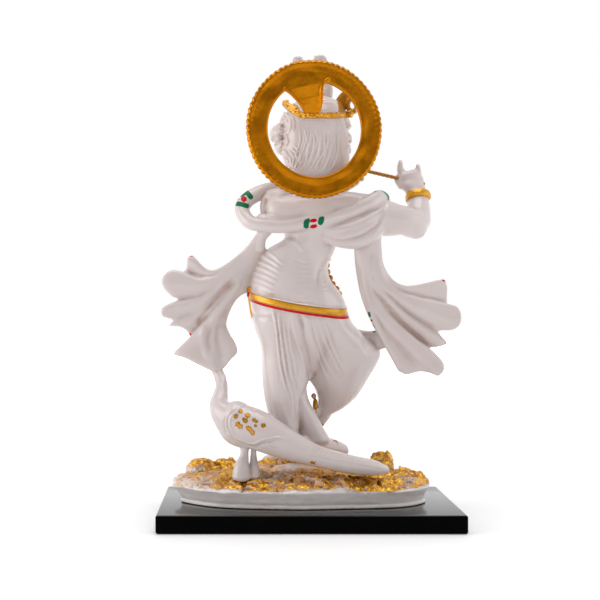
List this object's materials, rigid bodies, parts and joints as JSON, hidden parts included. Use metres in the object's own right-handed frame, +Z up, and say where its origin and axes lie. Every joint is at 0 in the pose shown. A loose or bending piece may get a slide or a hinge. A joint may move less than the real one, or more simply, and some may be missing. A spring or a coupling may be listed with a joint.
{
  "type": "krishna figure",
  "caption": "Standing flute player in white glazed resin with wind-blown scarf, gold halo ring and a peacock, on a rock base and a black board. Ornament.",
  "frame": {"origin": "centre of the board's underside, on the surface that it stands on", "axes": "+Z up, the figure faces -Y and its right hand is on the -X side, so the picture looks along -Y at its back"},
  "size_m": [0.2163, 0.13, 0.3373],
  "materials": {
    "glazed_resin": "white marble-dust resin under clear gloss, with gold, red and green paint",
    "gold_paint": "antique gold paint, satin",
    "black_lacquer": "black gloss lacquer over fibreboard"
  },
  "bodies": {
    "root": {"krishna_figure": "glazed_resin", "halo_ring": "gold_paint", "flute": "gold_paint", "plinth_board": "black_lacquer"}
  },
  "joints": []
}
